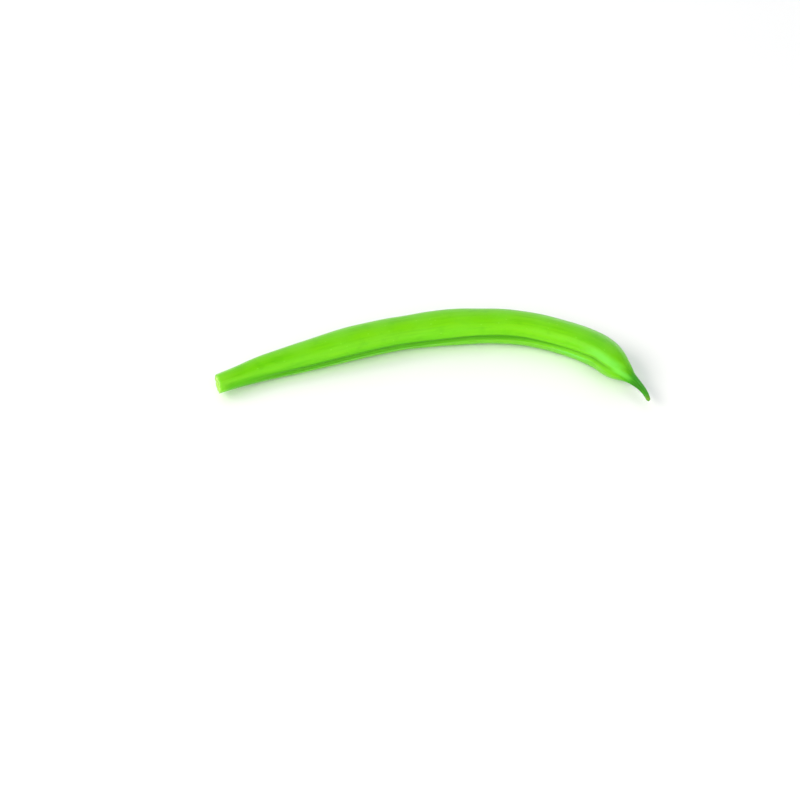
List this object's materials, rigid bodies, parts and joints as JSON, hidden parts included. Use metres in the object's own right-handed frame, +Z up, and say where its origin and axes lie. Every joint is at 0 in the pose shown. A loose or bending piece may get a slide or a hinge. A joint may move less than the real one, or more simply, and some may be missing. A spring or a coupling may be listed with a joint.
{
  "type": "green bean",
  "caption": "Fresh green bean: a slim curved pod lying on its side, with a snapped stem end, a seam along the inside of its bend and a thin curved beak.",
  "frame": {"origin": "on the surface that the bean lies on, under the middle of its box", "axes": "+X from the snapped stem towards the beak, +Y towards the outside of the bend, +Z up"},
  "size_m": [0.1128, 0.0344, 0.0094],
  "materials": {
    "pod_skin": "fresh bean skin: satin, slightly waxy, bright yellow-green, paler at the stem and darker at the beak"
  },
  "bodies": {
    "root": {"pod": "pod_skin"}
  },
  "joints": []
}
